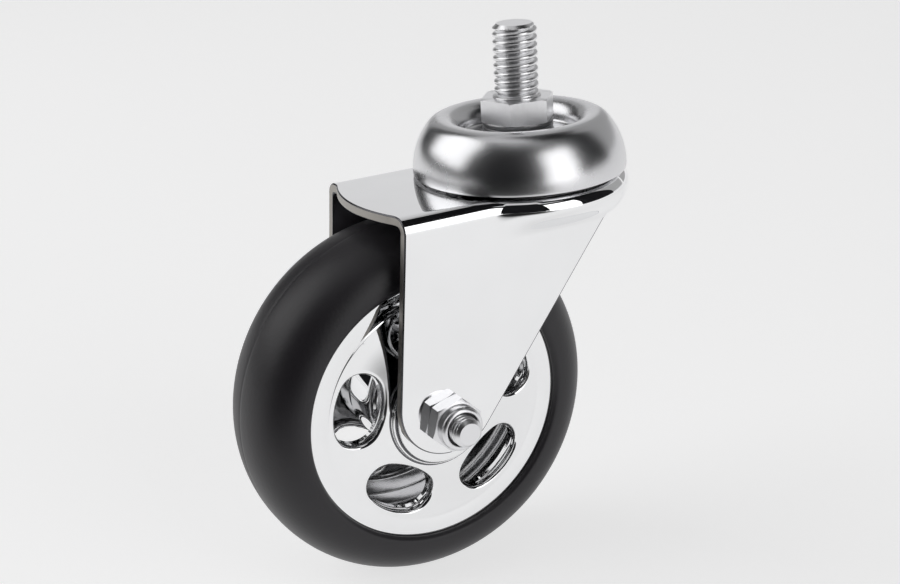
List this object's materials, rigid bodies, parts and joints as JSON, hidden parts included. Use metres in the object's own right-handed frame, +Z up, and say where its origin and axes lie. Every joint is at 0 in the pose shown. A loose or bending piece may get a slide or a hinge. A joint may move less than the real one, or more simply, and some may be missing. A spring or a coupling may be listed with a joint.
{
  "type": "swivel castor",
  "caption": "Threaded-stem swivel castor with domed ball swivel, pressed chrome fork and solid rubber tyre on a pressed steel wheel with windows.",
  "frame": {"origin": "on the swivel axis at the hexagon's top face, where the castor seats against what it is screwed into", "axes": "+Z up along the threaded stem, the wheel trails towards -X, +Y along the axle away from the nut"},
  "size_m": [0.0877, 0.0476, 0.1101],
  "materials": {
    "zinc_plate": "bright zinc plate",
    "dark_steel": "dull dark steel",
    "satin_chrome": "satin chrome",
    "mirror_chrome": "polished chrome",
    "hardened_steel": "ground steel",
    "ball_steel": "polished steel",
    "nylon": "dull",
    "rubber": "soft matt black rubber"
  },
  "bodies": {
    "stem": {"stem_stud": "zinc_plate", "stem_washer": "dark_steel", "dome_cap": "satin_chrome", "upper_race": "hardened_steel", "upper_balls": "ball_steel", "lower_race": "hardened_steel", "lower_balls": "ball_steel"},
    "fork": {"fork": "mirror_chrome", "axle_bolt": "zinc_plate", "lock_nut": "zinc_plate", "nylon_ring": "nylon", "side_spacer_near": "hardened_steel", "side_spacer_far": "hardened_steel", "centre_spacer": "hardened_steel", "bearing_inner_near": "hardened_steel", "bearing_inner_far": "hardened_steel"},
    "wheel": {"bearing_outer_near": "hardened_steel", "bearing_outer_far": "hardened_steel", "bearing_balls_near": "ball_steel", "bearing_balls_far": "ball_steel", "hub_barrel": "mirror_chrome", "wheel_disc_near": "mirror_chrome", "wheel_disc_far": "mirror_chrome", "tyre": "rubber"}
  },
  "joints": [
    {"name": "swivel", "type": "hinge", "parent": "stem", "child": "fork", "pos_m": [0, 0, -0.0163], "axis": [0, 0, 1], "continuous": true},
    {"name": "wheel_spin", "type": "hinge", "parent": "fork", "child": "wheel", "pos_m": [-0.028, 0, -0.0578], "axis": [0, 1, 0], "continuous": true}
  ]
}
